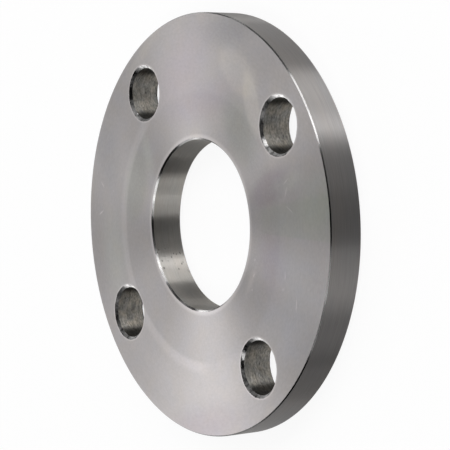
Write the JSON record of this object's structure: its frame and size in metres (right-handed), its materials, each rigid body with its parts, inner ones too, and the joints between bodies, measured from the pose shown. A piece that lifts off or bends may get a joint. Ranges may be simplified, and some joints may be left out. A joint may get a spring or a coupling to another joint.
{
  "type": "pipe flange",
  "caption": "Round flat-faced steel plate flange with a plain through bore for a pipe and a ring of bolt holes, turned and chamfered.",
  "frame": {"origin": "centre of the back face, on the bore's axis; the flange lies on this face", "axes": "+Z along the bore from the back face to the front face; +X and +Y are the flange's centre lines, and the bolt holes straddle them, at 45, 135, 225 and 315 degrees"},
  "size_m": [0.154, 0.154, 0.013],
  "materials": {
    "turned_steel": "lathe-turned bare carbon steel with fine concentric tool marks, darker drilled bolt holes, light handling scratches and stains"
  },
  "bodies": {
    "root": {"flange": "turned_steel"}
  },
  "joints": []
}
